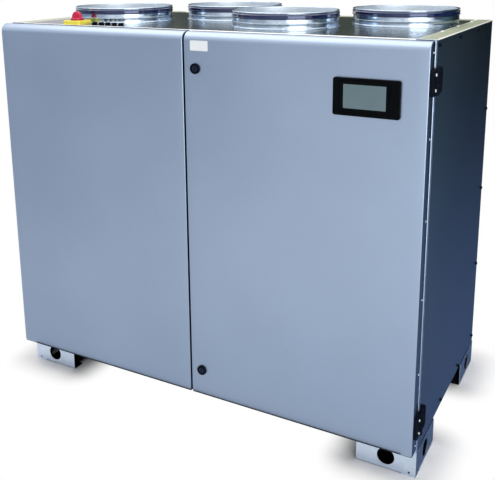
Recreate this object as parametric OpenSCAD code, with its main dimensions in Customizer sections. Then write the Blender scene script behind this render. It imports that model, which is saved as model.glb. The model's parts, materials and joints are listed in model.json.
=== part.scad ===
// Air handling unit: a floor-standing casing of insulated panels on four folded feet,
// with a fixed left front, a hinged right door, four duct spigots and a main switch on top.
// Laid out in millimetres from the front left corner of the footprint: x to the right,
// y to the back from the outer face of the fronts, z up from the floor.

/* [Casing] */
// Width over both fronts
casing_w = 1380; // [1300:5:1500]
// Depth of the casing behind the fronts
casing_d = 699; // [680:1:760]
// Height of the fronts
front_h = 1105; // [1000:5:1250]
// Thickness of the insulated panels
panel_t = 50; // [45:1:50]
// Depth of the galvanised front frame
frame_d = 12; // [8:1:16]
// Radius of the folded edges of the casing
casing_bend = 3; // [2:0.5:5]
// Reach of the casing below the fronts
skirt = 13; // [8:1:20]
// Thickness of the cover strips around the top
strip_t = 2; // [1.5:0.5:3]

/* [Fronts] */
// Thickness of the hinged door
door_t = 41; // [36:1:48]
// Sheet of the door and panel trays
tray_sheet = 1.5; // [1:0.5:2]
// Radius of the bend along the top of the fronts
top_bend = 25; // [15:1:30]
// Gap between the two fronts
split_gap = 6; // [6:1:12]
// Thickness of the door gasket
gasket_t = 3.5; // [2:0.5:5]
// Width of the door gasket
gasket_w = 12; // [8:1:16]
// Distance of the door gasket from the door edge
gasket_inset = 12; // [8:1:14]
// Air gap between the closed door gasket and the casing
door_gap = 5; // [5:0.5:6]
// Width of the centre post face
post_w = 44; // [40:1:48]
// Depth of the centre post flange
post_d = 40; // [30:1:60]
// Sheet of the centre post
post_sheet = 2; // [1.5:0.5:2]

/* [Display] */
// Width of the display bezel
bezel_w = 175; // [160:1:190]
// Height of the display bezel
bezel_h = 96; // [90:1:110]
// Depth of the display bezel
bezel_t = 8; // [7:0.5:10]
// Radius of the round edges of the display bezel
bezel_r = 3.5; // [2:0.5:3.5]
// Width of the screen
screen_w = 112; // [100:1:120]
// Height of the screen
screen_h = 64; // [56:1:70]
// Recess of the screen behind the bezel face
screen_recess = 1.5; // [1:0.5:2]
// Thickness of the screen glass
screen_t = 2; // [1.5:0.5:3]
// Margin of the bezel left of the screen
screen_left = 27; // [24:1:30]
// Distance of the bezel from the right edge of the door
bezel_edge = 66; // [50:1:90]
// Height of the bezel centre below the top of the fronts
bezel_drop = 144; // [120:1:180]

/* [Locks] */
// Diameter of the lock head
lock_head_d = 30; // [28:1:34]
// How far the lock head stands proud
lock_head_t = 6; // [4:0.5:7]
// Diameter of the lock shank
lock_shank_d = 22; // [21:1:24]
// Diameter of the turning lock insert
lock_insert_d = 16; // [14:1:18]
// Width of the key slot in the lock insert
lock_slot_w = 3; // [2:0.5:4]
// Length of the key slot in the lock insert
lock_slot_h = 11; // [9:0.5:12]
// Depth of the key slot in the lock insert
lock_slot_d = 4; // [3:0.5:5]
// Depth of the lock insert behind the face of the lock head
lock_face_sink = 1; // [0.5:0.5:2]
// Diameter of the stem that carries the tongue
lock_stem_d = 10; // [8:1:12]
// Distance of the locks from the middle of the casing
lock_inset = 39; // [36:1:44]
// Height of the upper lock below the top of the fronts
lock_drop = 101; // [90:1:140]
// Height of the lower lock above the bottom of the fronts
lock_rise = 84; // [70:1:120]
// Reach of the lock tongue
tongue_reach = 40; // [36:1:44]
// Width of the lock tongue
tongue_w = 14; // [12:1:16]
// Thickness of the lock tongue
tongue_t = 3; // [2:0.5:4]
// Play between a turning piece and its seat
turn_play = 0.3; // [0.2:0.05:0.4]
// Room around the lock tongue behind the centre post
tongue_room = 5.5; // [5:0.5:8]

/* [Hinges] */
// Height of a hinge leaf
hinge_h = 66; // [60:1:72]
// Width of the frame leaf from the pin axis
frame_leaf_w = 50; // [40:1:54]
// Distance of the door leaf from the face of the door
door_leaf_inset = 5; // [4:1:10]
// Thickness of a hinge leaf
hinge_leaf_t = 8; // [6:0.5:8]
// Corner radius of a hinge leaf
hinge_leaf_r = 8; // [4:1:10]
// Diameter of the hinge knuckle
knuckle_d = 12; // [11:0.5:13]
// Room between the knuckle and the leaves
hinge_play = 1.5; // [1:0.1:2]
// Diameter of the hinge pin
pin_d = 6; // [5:0.5:7]
// Distance of the pin axis from the casing side
pin_out = 6.5; // [6.5:0.1:7]
// Height of the upper hinge below the top of the fronts
hinge_drop = 100; // [90:1:140]
// Height of the lower hinge above the bottom of the fronts
hinge_rise = 81; // [60:1:100]

/* [Spigots] */
// Outer diameter of the duct spigots
spigot_d = 315; // [300:1:320]
// Height of the spigot rim above the top
spigot_h = 48; // [44:1:60]
// Wall of the spigot
spigot_wall = 3; // [2.5:0.5:4]
// Width of the flange at the spigot foot
spigot_flange = 5; // [4:0.5:6]
// Thickness of the flange at the spigot foot
spigot_flange_t = 2; // [1.5:0.5:3]
// Radius of the stiffening bead
bead_r = 2; // [1.5:0.5:3]
// Height of the stiffening bead above the top
bead_z = 16; // [12:1:18]
// Depth of the gasket groove
groove_d = 1.5; // [1:0.5:2]
// Height of the gasket groove above the top
groove_z = 28; // [26:1:30]
// Height of the gasket groove
groove_h = 14; // [13:1:15]
// Reach of the gasket lips beyond the spigot
lip_reach = 3; // [2:0.5:4]
// Distance of the first spigot centre from the left side
spigot_first = 275; // [265:1:285]
// Distance of the last spigot centre from the right side
spigot_last = 214; // [214:1:224]
// Distance of the front row of spigots from the casing front
spigot_front = 235.5; // [233:0.5:245]
// Distance of the back row of spigots from the casing back
spigot_back = 240.5; // [230:0.5:245]

/* [Switch] */
// Side of the square switch plate
switch_w = 64; // [56:1:64]
// Thickness of the switch plate
switch_t = 12; // [10:1:16]
// Radius of the round edges of the switch plate
switch_r = 5; // [3:1:5]
// Distance of the switch from the left side
switch_x = 240; // [234:1:244]
// Distance of the switch from the casing front
switch_in = 38.5; // [34:0.5:39]
// Diameter of the knob base
knob_d = 40; // [34:1:44]
// Height of the knob base
knob_base_h = 7; // [5:0.5:9]
// Radius of the round rim of the knob base
knob_rim_r = 3; // [2:0.5:4]
// Width of the knob grip
knob_grip_w = 13; // [10:1:16]
// Diameter of the knob shaft
knob_shaft_d = 10; // [8:1:12]
// Length of the knob shaft inside the plate
knob_shaft_l = 8; // [6:1:9]

/* [Cable grommets] */
// Number of grommets in the row
grommet_count = 5; // [3:1:5]
// Diameter of a grommet
grommet_d = 18; // [14:1:20]
// Height of a grommet
grommet_h = 8; // [6:0.5:9]
// Diameter of the cable hole in a grommet
grommet_bore_d = 7; // [5:0.5:8]
// Pitch of the grommets
grommet_pitch = 25; // [22:1:26]
// Distance of the first grommet from the switch
grommet_step = 70; // [66:1:80]

/* [Feet] */
// Height of the feet
foot_h = 78; // [70:1:90]
// Length of a foot plate along the front and back
foot_l = 172; // [150:1:190]
// Length of a foot plate along the sides
foot_side_l = 180; // [150:1:190]
// Sheet of the feet
foot_sheet = 3; // [2:0.5:4]
// Outer radius of the bends of the feet
foot_bend = 5; // [4:0.5:8]
// Width of the foot flanges
foot_flange = 40; // [30:1:50]
// Diameter of the large hole in each foot plate
foot_hole_d = 50; // [40:1:54]
// Diameter of the fixing hole in each foot plate
foot_fix_d = 6; // [5:0.5:8]
// Distance of the fixing hole from the foot corner
foot_fix_x = 19; // [14:1:24]
// Height of the fixing hole above the floor
foot_fix_z = 10; // [9:1:14]

/* [Hidden] */
$fn = 96;
eps = 1;

front_z = foot_h + skirt;
top_z = front_z + front_h;
casing_y = door_t + gasket_t + door_gap;
panel_y = casing_y + frame_d;
back_y = casing_y + casing_d;
wall_y = back_y - panel_t;
wall_z = top_z - strip_t;
floor_z = foot_h + panel_t;
roof_z = top_z - panel_t;
mid_x = casing_w / 2;
door_x = mid_x + split_gap / 2;
front_w = mid_x - split_gap / 2;

lock_x = mid_x + lock_inset;
lock_upper_z = top_z - lock_drop;
lock_lower_z = front_z + lock_rise;
tongue_y = casing_y + post_sheet + tongue_room;

bezel_x = casing_w - bezel_edge - bezel_w;
bezel_z = top_z - bezel_drop - bezel_h / 2;
screen_x = bezel_x + screen_left;
screen_z = bezel_z + (bezel_h - screen_h) / 2;

pin_x = casing_w + pin_out;
pin_y = casing_y - door_gap / 2;
hinge_upper_z = top_z - hinge_drop - hinge_h / 2;
hinge_lower_z = front_z + hinge_rise - hinge_h / 2;
knuckle_room = knuckle_d / 2 + hinge_play;
hinge_lift = 0.5;
pin_short = 3;
hinge_proud = pin_out + knuckle_d / 2;
door_leaf_w = pin_y - door_leaf_inset;

spigot_pitch = (casing_w - spigot_first - spigot_last) / 3;
spigot_r = spigot_d / 2;
spigot_inner_r = spigot_r - spigot_wall;
spigot_hole_play = 1;
seal_play = 0.2;
seal_h = groove_h - 1;
switch_y = casing_y + switch_in;

// The origin is the middle of the whole footprint, on the floor.
base_x = (casing_w + hinge_proud) / 2;
base_y = (back_y - bezel_t) / 2;

paint = "slategray";
zinc = "silver";
black = "dimgray";

// Moves the layout so that the origin is the middle of the footprint
module placed() {
    translate([-base_x, -base_y, 0]) children();
}

// A box from one corner to the opposite one
module block(low, high) {
    translate(low) cube(high - low);
}

// A rectangle with round corners, from true arcs
module round_rect(w, h, r) {
    translate([r, 0]) square([w - 2 * r, h]);
    translate([0, r]) square([w, h - 2 * r]);
    for (x = [r, w - r], y = [r, h - r]) translate([x, y]) circle(r);
}

// A rectangle with a round corner at the origin, from a true arc
module one_round_rect(w, h, r) {
    translate([r, 0]) square([w - r, h]);
    translate([0, r]) square([w, h - r]);
    translate([r, r]) circle(r);
}

// A plate with its face at the bottom, all edges of the face and all corners round
module cushion(w, h, t, r) {
    block([r, r, 0], [w - r, h - r, t]);
    block([0, r, r], [w, h - r, t]);
    block([r, 0, r], [w - r, h, t]);
    for (y = [r, h - r]) translate([r, y, r]) rotate([0, 90, 0]) cylinder(r = r, h = w - 2 * r);
    for (x = [r, w - r]) translate([x, r, r]) rotate([-90, 0, 0]) cylinder(r = r, h = h - 2 * r);
    for (x = [r, w - r], y = [r, h - r]) translate([x, y, r]) {
        sphere(r);
        cylinder(r = r, h = t - r);
    }
}

// A flat piece in the plane of the fronts: drawn in x and z, thickness towards the back
module upright(t) {
    translate([0, t, 0]) rotate([90, 0, 0]) linear_extrude(t) children();
}

// A cylinder along y, starting at the given depth
module dowel(x, y, z, r, l) {
    translate([x, y, z]) rotate([-90, 0, 0]) cylinder(r = r, h = l);
}

// Centre of spigot i, alternating between the front and the back row
function spigot_place(i) = [
    spigot_first + i * spigot_pitch,
    i % 2 == 0 ? casing_y + spigot_front : back_y - spigot_back,
    top_z
];

module bottom_panel() {
    color(zinc)
        block([panel_t, panel_y, foot_h], [casing_w - panel_t, wall_y, floor_z]);
}

// Side panel over the whole depth, with its back edge folded round, drawn for the left
module side_panel() {
    color(paint) translate([0, back_y, foot_h]) mirror([0, 1, 0])
        linear_extrude(wall_z - foot_h) one_round_rect(panel_t, back_y - panel_y, casing_bend);
}

module back_panel() {
    color(paint)
        block([panel_t, wall_y, foot_h], [casing_w - panel_t, back_y, wall_z]);
}

module top_panel() {
    color(zinc) difference() {
        block([panel_t, panel_y, roof_z], [casing_w - panel_t, wall_y, top_z]);
        for (i = [0:3]) {
            place = spigot_place(i);
            translate([place.x, place.y, roof_z - eps])
                cylinder(r = spigot_r + spigot_hole_play, h = panel_t + 2 * eps);
        }
    }
}

// Cover strip along one side of the top, drawn for the left
module top_strip_side() {
    color(zinc) translate([0, back_y, wall_z]) mirror([0, 1, 0])
        linear_extrude(strip_t) one_round_rect(panel_t, back_y - panel_y, casing_bend);
}

module top_strip_back() {
    color(zinc)
        block([panel_t, wall_y, wall_z], [casing_w - panel_t, back_y, top_z]);
}

// Post of the front frame with its folded outer edge, drawn for the left
module front_post() {
    color(zinc) translate([0, casing_y, foot_h])
        linear_extrude(top_z - foot_h) one_round_rect(panel_t, frame_d, casing_bend);
}

// The right-hand version of a piece drawn for the left
module right_hand() {
    translate([casing_w, 0, 0]) mirror([1, 0, 0]) children();
}

// Rail of the front frame with its folded outer edge, drawn for the bottom
module front_rail() {
    color(zinc) translate([panel_t, casing_y, 0]) rotate([90, 0, 90])
        linear_extrude(casing_w - 2 * panel_t) one_round_rect(frame_d, panel_t, casing_bend);
}

// Angle post behind the split, bent from sheet, with its flange on the side away from the locks
module centre_post() {
    bend = 2 * post_sheet;
    color(zinc) translate([mid_x - post_w / 2, casing_y, floor_z]) linear_extrude(roof_z - floor_z) {
        translate([bend, 0]) square([post_w - bend, post_sheet]);
        translate([0, bend]) square([post_sheet, post_d - bend]);
        difference() {
            intersection() {
                translate([bend, bend]) circle(bend);
                square(bend);
            }
            translate([bend, bend]) circle(bend - post_sheet);
        }
    }
}

// Section of a front through its depth: flat face, round bend along the top
module front_section(depth) {
    difference() {
        square([depth, front_h]);
        translate([0, front_h - top_bend]) square(top_bend);
    }
    intersection() {
        translate([top_bend, front_h - top_bend]) circle(top_bend);
        translate([0, front_h - top_bend]) square(top_bend);
    }
}

// The section carried along the width of a front
module front_body(x, w, depth) {
    translate([x, 0, front_z]) rotate([90, 0, 90]) linear_extrude(w) front_section(depth);
}

// Filling of a tray, cut back at the bend
module front_filling(x, w, depth) {
    cut = top_bend + tray_sheet;
    difference() {
        block([x + tray_sheet, tray_sheet, front_z + tray_sheet],
              [x + w - tray_sheet, depth, top_z - tray_sheet]);
        translate([x, 0, top_z - cut]) cube([w, cut, cut]);
    }
}

// Folded tray: the front body less its filling and less the hollow of the bend
module front_tray(x, w, depth) {
    inner_bend = top_bend - tray_sheet;
    difference() {
        front_body(x, w, depth);
        block([x + tray_sheet, tray_sheet, front_z + tray_sheet],
              [x + w - tray_sheet, depth + eps, top_z - top_bend]);
        block([x + tray_sheet, top_bend, front_z + tray_sheet],
              [x + w - tray_sheet, depth + eps, top_z - tray_sheet]);
        translate([x + tray_sheet, top_bend, top_z - top_bend])
            rotate([0, 90, 0]) cylinder(r = inner_bend, h = w - 2 * tray_sheet);
    }
}

module lock_holes(depth) {
    for (z = [lock_upper_z, lock_lower_z])
        dowel(lock_x, -eps, z, lock_shank_d / 2 + turn_play, depth + 2 * eps);
}

module left_front_panel() {
    color(paint) front_tray(0, front_w, casing_y);
}

module left_panel_liner() {
    color(zinc) front_filling(0, front_w, casing_y);
}

module right_door() {
    color(paint) difference() {
        front_tray(door_x, front_w, door_t);
        lock_holes(door_t);
    }
}

module door_liner() {
    color(zinc) difference() {
        front_filling(door_x, front_w, door_t);
        lock_holes(door_t);
    }
}

module door_gasket() {
    outer_x = door_x + gasket_inset;
    outer_z = front_z + gasket_inset;
    outer_w = front_w - 2 * gasket_inset;
    outer_h = front_h - 2 * gasket_inset;
    color(black) translate([0, door_t, 0]) upright(gasket_t) difference() {
        translate([outer_x, outer_z]) square([outer_w, outer_h]);
        translate([outer_x + gasket_w, outer_z + gasket_w])
            square([outer_w - 2 * gasket_w, outer_h - 2 * gasket_w]);
    }
}

module display_bezel() {
    color(black) difference() {
        translate([bezel_x, -bezel_t, bezel_z + bezel_h])
            rotate([-90, 0, 0]) cushion(bezel_w, bezel_h, bezel_t, bezel_r);
        translate([screen_x, -bezel_t - eps, screen_z])
            cube([screen_w, screen_recess + screen_t + eps, screen_h]);
    }
}

module display_screen() {
    color("darkslategray")
        translate([screen_x, -bezel_t + screen_recess, screen_z]) cube([screen_w, screen_t, screen_h]);
}

// Head with a bevelled rim on a shank that passes through the door
module lock_housing(z) {
    head_r = lock_head_d / 2;
    bevel = 2;
    color(black) translate([lock_x, 0, z]) rotate([-90, 0, 0]) rotate_extrude() polygon([
        [lock_insert_d / 2 + turn_play, -lock_head_t],
        [head_r - bevel, -lock_head_t],
        [head_r, bevel - lock_head_t],
        [head_r, 0],
        [lock_shank_d / 2, 0],
        [lock_shank_d / 2, door_t],
        [lock_insert_d / 2 + turn_play, door_t]
    ]);
}

// Insert with a key slot in front and the tongue behind the door, upright when unlocked
module lock_insert(z) {
    face_y = lock_face_sink - lock_head_t;
    color(black) {
        difference() {
            dowel(lock_x, face_y, z, lock_insert_d / 2, door_t - face_y);
            translate([lock_x - lock_slot_w / 2, face_y - eps, z - lock_slot_h / 2])
                cube([lock_slot_w, lock_slot_d + eps, lock_slot_h]);
        }
        dowel(lock_x, door_t, z, lock_stem_d / 2, tongue_y - door_t);
        translate([lock_x - tongue_w / 2, tongue_y, z - tongue_w / 2])
            upright(tongue_t) round_rect(tongue_w, tongue_reach + tongue_w / 2, tongue_w / 2 - turn_play);
    }
}

// Outline of a hinge leaf in y and z, with the tab that runs to its half of the knuckle
module leaf_outline(w, tab_z, tab_h) {
    translate([knuckle_room, 0]) round_rect(w - knuckle_room, hinge_h, hinge_leaf_r);
    translate([0, tab_z]) square([w / 2, tab_h]);
}

// A hinge leaf as a plate against the casing side
module leaf_plate(w, tab_z, tab_h) {
    translate([-pin_out, 0, 0]) rotate([90, 0, 90])
        linear_extrude(hinge_leaf_t) leaf_outline(w, tab_z, tab_h);
}

// Lower half of the hinge, fixed to the casing side, with the pin standing in it
module hinge_frame_leaf(z) {
    low_h = hinge_h / 2 - hinge_lift;
    color(black) translate([pin_x, pin_y, z]) {
        leaf_plate(frame_leaf_w, 0, low_h);
        cylinder(d = knuckle_d, h = low_h);
        cylinder(d = pin_d, h = hinge_h - pin_short);
    }
}

// Upper half of the hinge, fixed to the door edge, lifted over the pin
module hinge_door_leaf(z) {
    half = hinge_h / 2;
    color(black) translate([pin_x, pin_y, z]) difference() {
        union() {
            mirror([0, 1, 0]) leaf_plate(door_leaf_w, half, half);
            translate([0, 0, half]) cylinder(d = knuckle_d, h = half);
        }
        translate([0, 0, half - eps]) cylinder(d = pin_d + 2 * turn_play, h = half + 2 * eps);
    }
}

module switch_plate() {
    plate_top = top_z + switch_t;
    color("gold") difference() {
        translate([switch_x - switch_w / 2, switch_y + switch_w / 2, plate_top])
            rotate([180, 0, 0]) cushion(switch_w, switch_w, switch_t, switch_r);
        translate([switch_x, switch_y, plate_top - knob_shaft_l - eps])
            cylinder(r = knob_shaft_d / 2 + turn_play, h = knob_shaft_l + 2 * eps);
    }
}

// Round base with a rounded rim, a half-round grip across it and a shaft in the plate
module switch_knob() {
    rim = knob_d / 2 - knob_rim_r;
    color("crimson") translate([switch_x, switch_y, top_z + switch_t + turn_play]) {
        rotate_extrude() {
            square([rim, knob_base_h]);
            square([knob_d / 2, knob_base_h - knob_rim_r]);
            intersection() {
                translate([rim, knob_base_h - knob_rim_r]) circle(knob_rim_r);
                square([knob_d / 2, knob_base_h]);
            }
        }
        translate([0, 0, -knob_shaft_l]) cylinder(d = knob_shaft_d, h = knob_shaft_l);
        intersection() {
            translate([0, 0, knob_base_h]) sphere(rim);
            translate([-knob_d / 2, -knob_grip_w / 2, 0]) cube([knob_d, knob_grip_w, knob_d]);
        }
    }
}

// Row of rubber grommets beside the switch, each a ring with a round lip
module cable_grommets() {
    lip_r = grommet_h / 4;
    color(black) for (i = [0:grommet_count - 1])
        translate([switch_x + grommet_step + i * grommet_pitch, switch_y, top_z]) rotate_extrude() {
            translate([grommet_bore_d / 2, 0])
                square([(grommet_d - grommet_bore_d) / 2 - lip_r, grommet_h]);
            translate([grommet_bore_d / 2, 0])
                square([(grommet_d - grommet_bore_d) / 2, grommet_h - lip_r]);
            translate([grommet_d / 2 - lip_r, grommet_h - lip_r]) circle(lip_r);
        }
}

// Duct spigot: tube through the top panel, foot flange, bead and gasket groove
module spigot(i) {
    groove_r = spigot_r - groove_d;
    color(zinc) translate(spigot_place(i)) rotate_extrude() {
        translate([spigot_inner_r, -panel_t]) square([spigot_r - spigot_inner_r, panel_t + groove_z]);
        translate([spigot_inner_r, groove_z]) square([groove_r - spigot_inner_r, groove_h]);
        translate([spigot_inner_r, groove_z + groove_h])
            square([spigot_r - spigot_inner_r, spigot_h - groove_z - groove_h]);
        translate([spigot_inner_r, 0]) square([spigot_r + spigot_flange - spigot_inner_r, spigot_flange_t]);
        translate([spigot_r, bead_z]) circle(bead_r);
    }
}

// Rubber seal in the spigot groove, with two lips
module spigot_seal(i) {
    seat_r = spigot_r - groove_d + seal_play;
    body_r = spigot_r + 0.5;
    lip_r = spigot_r + lip_reach;
    color(black) translate(spigot_place(i) + [0, 0, groove_z]) rotate_extrude() polygon([
        [seat_r, 0],
        [body_r, 0],
        [lip_r, seal_h * 0.25],
        [body_r, seal_h * 0.42],
        [body_r, seal_h * 0.58],
        [lip_r, seal_h * 0.83],
        [body_r, seal_h],
        [seat_r, seal_h]
    ]);
}

// Section of a foot plate: a channel open to the inside, with bent edges
module foot_section(t, r) {
    translate([r, t]) square([foot_flange - r, foot_h - 2 * t]);
    translate([t, r]) square([r - t, foot_h - 2 * r]);
    for (z = [r, foot_h - r]) translate([r, z]) circle(r - t);
}

// One folded foot plate along x, with its large hole and its fixing hole
module foot_channel(l) {
    difference() {
        rotate([90, 0, 90]) linear_extrude(l) difference() {
            foot_section(0, foot_bend);
            foot_section(foot_sheet, foot_bend);
            translate([foot_flange - eps, foot_sheet]) square([2 * eps, foot_h - 2 * foot_sheet]);
        }
        dowel(l / 2, -eps, foot_h / 2, foot_hole_d / 2, foot_sheet + 2 * eps);
        dowel(foot_fix_x, -eps, foot_fix_z, foot_fix_d / 2, foot_sheet + 2 * eps);
    }
}

// Corner foot: two channels meeting at the corner, drawn for the front left
module foot() {
    foot_channel(foot_l);
    mirror([1, -1, 0]) foot_channel(foot_side_l);
}

// A foot at one corner: side 0 left or 1 right, end 0 front or 1 rear
module corner_foot(side, end) {
    color(zinc) translate([side * casing_w, end == 0 ? casing_y : back_y, 0])
        mirror([side, 0, 0]) mirror([0, end, 0]) foot();
}

placed() bottom_panel();
placed() side_panel();  // left_side_panel
placed() right_hand() side_panel();  // right_side_panel
placed() back_panel();
placed() top_panel();
placed() top_strip_side();  // top_strip_left
placed() right_hand() top_strip_side();  // top_strip_right
placed() top_strip_back();
placed() front_post();  // front_post_left
placed() right_hand() front_post();  // front_post_right
placed() translate([0, 0, top_z]) mirror([0, 0, 1]) front_rail();  // front_rail_top
placed() translate([0, 0, foot_h]) front_rail();  // front_rail_bottom
placed() centre_post();
placed() left_front_panel();
placed() left_panel_liner();
placed() right_door();
placed() door_liner();
placed() door_gasket();
placed() display_bezel();
placed() display_screen();
placed() lock_housing(lock_upper_z);  // lock_housing_upper
placed() lock_housing(lock_lower_z);  // lock_housing_lower
placed() lock_insert(lock_upper_z);  // lock_insert_upper
placed() lock_insert(lock_lower_z);  // lock_insert_lower
placed() hinge_frame_leaf(hinge_upper_z);  // hinge_frame_leaf_upper
placed() hinge_frame_leaf(hinge_lower_z);  // hinge_frame_leaf_lower
placed() hinge_door_leaf(hinge_upper_z);  // hinge_door_leaf_upper
placed() hinge_door_leaf(hinge_lower_z);  // hinge_door_leaf_lower
placed() switch_plate();
placed() switch_knob();
placed() cable_grommets();
placed() spigot(0);  // spigot_1
placed() spigot(1);  // spigot_2
placed() spigot(2);  // spigot_3
placed() spigot(3);  // spigot_4
placed() spigot_seal(0);  // spigot_seal_1
placed() spigot_seal(1);  // spigot_seal_2
placed() spigot_seal(2);  // spigot_seal_3
placed() spigot_seal(3);  // spigot_seal_4
placed() corner_foot(0, 0);  // foot_front_left
placed() corner_foot(1, 0);  // foot_front_right
placed() corner_foot(0, 1);  // foot_rear_left
placed() corner_foot(1, 1);  // foot_rear_right
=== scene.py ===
# %% [markdown]
# # An air handling unit
# A floor-standing cabinet of insulated panels: a fixed left front, a hinged right door with a
# display, four duct spigots and a main switch on the top, and four folded corner feet.
# The construction comes from CAD and stays where it is. This lesson dresses it: rounded sheet
# metal, moulded plastic, rolled spigots, rubber seals, screws, finishes and studio light.

# %% Load the frame
import json
import bpy
import bmesh
import numpy as np
from mathutils import Matrix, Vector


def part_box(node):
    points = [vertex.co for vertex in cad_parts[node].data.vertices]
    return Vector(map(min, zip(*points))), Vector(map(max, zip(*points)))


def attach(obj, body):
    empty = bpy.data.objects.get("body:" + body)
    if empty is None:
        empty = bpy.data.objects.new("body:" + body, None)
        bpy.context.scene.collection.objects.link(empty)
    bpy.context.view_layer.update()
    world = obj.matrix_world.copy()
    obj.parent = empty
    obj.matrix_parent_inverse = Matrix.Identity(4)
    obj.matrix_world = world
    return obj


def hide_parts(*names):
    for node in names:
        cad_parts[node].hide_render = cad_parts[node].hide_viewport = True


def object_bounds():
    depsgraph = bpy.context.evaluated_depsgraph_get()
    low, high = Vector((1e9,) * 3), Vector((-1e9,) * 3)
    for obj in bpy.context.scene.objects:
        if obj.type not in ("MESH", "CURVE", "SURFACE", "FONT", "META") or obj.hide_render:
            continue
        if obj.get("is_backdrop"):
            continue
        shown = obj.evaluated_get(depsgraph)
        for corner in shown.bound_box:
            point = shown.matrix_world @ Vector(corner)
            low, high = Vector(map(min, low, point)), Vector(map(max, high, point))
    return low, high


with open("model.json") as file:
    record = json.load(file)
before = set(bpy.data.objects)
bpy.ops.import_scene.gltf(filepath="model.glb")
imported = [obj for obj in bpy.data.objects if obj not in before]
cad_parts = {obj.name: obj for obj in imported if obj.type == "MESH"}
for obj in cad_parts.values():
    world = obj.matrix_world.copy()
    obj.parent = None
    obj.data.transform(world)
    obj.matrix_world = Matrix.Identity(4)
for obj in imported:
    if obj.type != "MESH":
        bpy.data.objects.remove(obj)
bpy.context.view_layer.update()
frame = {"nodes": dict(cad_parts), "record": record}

# %% [markdown]
# ## One layout for every piece
# The drawing of the unit is laid out in millimetres from the left edge of the fronts (x), the
# outer face of the fronts (y, to the back) and the floor (z). Working in those numbers keeps a
# piece easy to compare with the drawing; one function turns them into metres in the CAD frame.

# %% Layout in millimetres
mm = 0.001
corner = np.array([*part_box("left_front_panel")[0]]) * [1, 1, 0]


def placed(points):
    """Layout millimetres to metres: divide by 1000 and add the layout's corner."""
    return corner + np.asarray(points, float) / 1000


def layout_box(node):
    """Lowest and highest corner of a CAD node, in layout millimetres."""
    return tuple((np.array([*p]) - corner) * 1000 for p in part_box(node))


top_z = layout_box("top_panel")[1][2]
casing_w = layout_box("right_side_panel")[1][0]
print("top at", round(top_z, 1), "mm, casing width", round(casing_w, 1), "mm")

# %% [markdown]
# ## Surfaces from grids
# Every new piece is a grid of points, a function of two parameters. Rows of the grid are joined
# by quads; where the columns close into a ring the last one joins the first. Rows that shrink to
# one point close a pole, and merging equal points turns those quads into triangles. This one
# function is enough for plates, turned parts and bent sheet.

# %% From grids to a mesh
weld_gap = 2e-6
sliver = 1e-7


def piece(name, patches, materials, body, sharp=40.0):
    """Joins patches into one piece that rides on a body. A patch is (points, ring, material
    index): points has the shape (rows, columns, 3) in layout millimetres, and each quad joins
    two neighbours of a row to the same two of the next row."""
    points, quads, index, start = [], [], [], 0
    for grid, ring, number in patches:
        rows, columns = grid.shape[:2]
        ids = start + np.arange(rows * columns).reshape(rows, columns)
        near = ids if ring else ids[:, :-1]
        far = np.roll(ids, -1, axis=1) if ring else ids[:, 1:]
        quads_here = np.stack([near[:-1], far[:-1], far[1:], near[1:]], -1).reshape(-1, 4)
        points.append(placed(grid.reshape(-1, 3)))
        quads.append(quads_here)
        index.append(np.full(len(quads_here), number))
        start += rows * columns
    mesh = bpy.data.meshes.new(name)
    mesh.from_pydata(np.concatenate(points).tolist(), [], np.concatenate(quads).tolist())
    mesh.polygons.foreach_set("material_index", np.concatenate(index).astype(np.int32))
    work = bmesh.new()
    work.from_mesh(mesh)
    bmesh.ops.remove_doubles(work, verts=work.verts, dist=weld_gap)
    bmesh.ops.dissolve_degenerate(work, edges=work.edges, dist=sliver)
    bmesh.ops.recalc_face_normals(work, faces=work.faces)
    work.to_mesh(mesh)
    work.free()
    for material in materials:
        mesh.materials.append(material)
    mesh.shade_smooth()
    mesh.set_sharp_from_angle(angle=np.radians(sharp))
    made = bpy.data.objects.new(name, mesh)
    bpy.context.scene.collection.objects.link(made)
    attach(made, body)
    return made


def arc(centre, radius, start, end, count):
    """Points on a circle: the centre plus the radius times cosine and sine of even steps."""
    turn = np.radians(np.linspace(start, end, count))
    return np.asarray(centre) + radius * np.stack([np.cos(turn), np.sin(turn)], -1)


def run(*parts):
    """One polyline from several runs of points, one after the other."""
    return np.concatenate([np.atleast_2d(np.asarray(p, float)) for p in parts])


print("line and arc", run((1, -1), arc((0, 0), 1, 0, 90, 3)).round(2).tolist())

# %% [markdown]
# ## The photograph's camera
# The camera was fitted to the corners of the cabinet. The picture is the lower part of a taller
# frame, cut close above the spigots, so the lens is shifted down by that much. The three axes are
# written out from yaw, pitch and roll, so the fit can be read off directly.

# %% Camera
yaw, pitch, roll = np.radians([28.4849, -12.7593, -0.4300])
camera_place = [1.132244, -2.096036, 1.378003]
picture_w = 495
shift_rows = 108.5
look = np.array([-np.sin(yaw) * np.cos(pitch), np.cos(yaw) * np.cos(pitch), np.sin(pitch)])
level = np.array([np.cos(yaw), np.sin(yaw), 0.0])
rise = np.cross(level, look)
right = np.cos(roll) * level + np.sin(roll) * rise
above = np.cos(roll) * rise - np.sin(roll) * level
turned = np.eye(4)
turned[:3, :3] = np.stack([right, above, -look], axis=1)
turned[:3, 3] = camera_place

lens = bpy.data.cameras.new("camera")
lens.sensor_width = 36.0
lens.lens = 54.0574
lens.shift_y = -shift_rows / picture_w
camera = bpy.data.objects.new("camera", lens)
camera.matrix_world = Matrix(turned.tolist())
bpy.context.scene.collection.objects.link(camera)
bpy.context.scene.camera = camera
print("camera at", np.round(turned[:3, 3], 2), "lens", round(lens.lens, 2))

# %% [markdown]
# ## Nodes and colours
# Materials are graphs of nodes. One small function adds a node, sets its options and links or
# fills its inputs. Colours are written as sRGB hex, the way a paint chart gives them, and turned
# to linear light once.

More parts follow.
